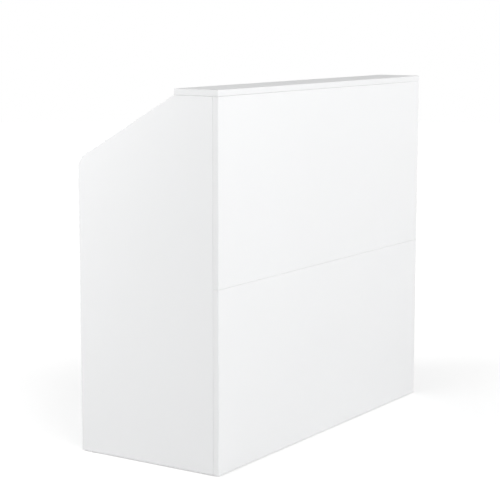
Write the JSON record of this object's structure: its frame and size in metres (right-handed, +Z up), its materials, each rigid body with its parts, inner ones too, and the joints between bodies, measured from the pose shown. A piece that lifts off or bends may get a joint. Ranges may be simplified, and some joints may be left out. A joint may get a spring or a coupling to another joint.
{
  "type": "reception counter",
  "caption": "White laminate reception counter with a raised visitor ledge, and on the staff side a desk, hutch, keyboard tray, lockable drawer and cabinet.",
  "frame": {"origin": "on the floor, under the middle of the counter's overall box", "axes": "+Z up, -Y towards the visitors (the closed front), +Y towards the staff, +X along the front, to the right for someone who looks along +Y"},
  "size_m": [1.2, 0.5, 1.1],
  "materials": {
    "white_laminate": "satin white melamine on particle board, with matching edge tape",
    "white_hardboard": "white lacquered hardboard",
    "zinc_steel": "bright zinc plate",
    "satin_nickel": "satin nickel plate",
    "white_plastic": "fine matt moulded"
  },
  "bodies": {
    "carcass": {"left_side_panel": "white_laminate", "right_side_panel": "white_laminate", "lower_front_panel": "white_laminate", "upper_front_panel": "white_laminate", "counter_top": "white_laminate", "work_surface": "white_laminate", "pedestal_divider": "white_laminate", "pedestal_bottom": "white_laminate", "drawer_shelf": "white_laminate", "toe_kick": "white_laminate", "hutch_divider": "white_laminate", "hutch_shelf": "white_laminate", "adjustable_shelf": "white_laminate", "shelf_pin_left_front": "zinc_steel", "shelf_pin_left_rear": "zinc_steel", "shelf_pin_right_front": "zinc_steel", "shelf_pin_right_rear": "zinc_steel", "floor_glide_left_front": "white_plastic", "floor_glide_left_rear": "white_plastic", "floor_glide_middle_front": "white_plastic", "floor_glide_middle_rear": "white_plastic", "floor_glide_right_front": "white_plastic", "floor_glide_right_rear": "white_plastic", "drawer_slide_outer_left": "zinc_steel", "drawer_slide_outer_right": "zinc_steel", "lock_strike": "zinc_steel", "magnetic_catch": "white_plastic", "upper_hinge_cabinet_leaf": "satin_nickel", "lower_hinge_cabinet_leaf": "satin_nickel", "upper_hinge_pin": "satin_nickel", "lower_hinge_pin": "satin_nickel", "tray_hanger_left": "zinc_steel", "tray_hanger_right": "zinc_steel", "tray_slide_outer_left": "zinc_steel", "tray_slide_outer_right": "zinc_steel", "outlet_liner": "white_plastic"},
    "drawer": {"drawer_front": "white_laminate", "drawer_left_side": "white_laminate", "drawer_right_side": "white_laminate", "drawer_back": "white_laminate", "drawer_bottom": "white_hardboard", "drawer_handle": "satin_nickel", "drawer_slide_inner_left": "zinc_steel", "drawer_slide_inner_right": "zinc_steel", "lock_body": "satin_nickel"},
    "slide_middles": {"drawer_slide_middle_left": "zinc_steel", "drawer_slide_middle_right": "zinc_steel"},
    "lock_core": {"lock_plug": "satin_nickel", "lock_tongue": "zinc_steel", "lock_nut": "zinc_steel"},
    "key": {"drawer_key": "satin_nickel"},
    "door": {"cabinet_door": "white_laminate", "door_handle": "satin_nickel", "upper_hinge_door_leaf": "satin_nickel", "lower_hinge_door_leaf": "satin_nickel", "catch_plate": "zinc_steel"},
    "tray": {"keyboard_tray": "white_laminate", "tray_slide_inner_left": "zinc_steel", "tray_slide_inner_right": "zinc_steel"},
    "outlet_cover": {"outlet_cap": "white_plastic"}
  },
  "joints": [
    {"name": "drawer_slide", "type": "slide", "parent": "carcass", "child": "drawer", "axis": [0, 1, 0], "range_m": [0, 0.33]},
    {"name": "drawer_slide_middle", "type": "slide", "parent": "carcass", "child": "slide_middles", "axis": [0, 1, 0], "range_m": [0, 0.165]},
    {"name": "lock_turn", "type": "hinge", "parent": "drawer", "child": "lock_core", "pos_m": [0.391, 0.205, 0.704], "axis": [0, 1, 0], "range_deg": [0, 90]},
    {"name": "key_pull", "type": "slide", "parent": "lock_core", "child": "key", "axis": [0, 1, 0], "range_m": [0, 0.03]},
    {"name": "door_swing", "type": "hinge", "parent": "carcass", "child": "door", "pos_m": [0.5782, 0.209, 0.321], "axis": [0, 0, -1], "range_deg": [0, 95]},
    {"name": "tray_slide", "type": "slide", "parent": "carcass", "child": "tray", "axis": [0, 1, 0], "range_m": [0, 0.24]},
    {"name": "outlet_cap_lift", "type": "slide", "parent": "carcass", "child": "outlet_cover", "axis": [0, 0, 1], "range_m": [0, 0.03]}
  ],
  "couplings": [
    {"joint": "drawer_slide_middle", "follows": "drawer_slide", "ratio": 0.5}
  ]
}
